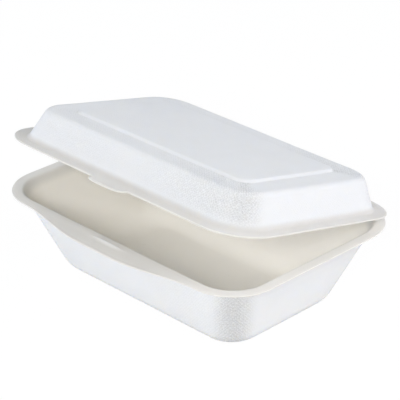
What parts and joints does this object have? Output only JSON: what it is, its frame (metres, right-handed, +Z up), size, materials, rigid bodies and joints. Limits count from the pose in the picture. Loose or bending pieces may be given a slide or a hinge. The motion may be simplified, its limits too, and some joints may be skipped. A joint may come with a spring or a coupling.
{
  "type": "bagasse meal box",
  "caption": "Moulded-pulp clamshell meal box: one deep compartment with drafted walls, flat rim with a lock slit, and a hinged lid with a raised panel and lock tab.",
  "frame": {"origin": "middle of the underside of the tray's flat base, where the box stands", "axes": "+X along the hinge, the long side; -Y towards the front with the lock tab and slit; +Z up out of the tray"},
  "size_m": [0.184, 0.1447, 0.0945],
  "materials": {
    "tray_pulp": "matte pressed fibre, faint wire-mesh grain outside, smoother cream inside",
    "lid_pulp": "matte pressed fibre, faint wire-mesh grain outside, smoother cream inside"
  },
  "bodies": {
    "tray": {"tray": "tray_pulp"},
    "lid": {"lid": "lid_pulp"}
  },
  "joints": [
    {"name": "lid_hinge", "type": "hinge", "parent": "tray", "child": "lid", "pos_m": [0, 0.07125, 0.0483], "axis": [-1, 0, 0], "range_deg": [-13.6, 166.4]}
  ]
}
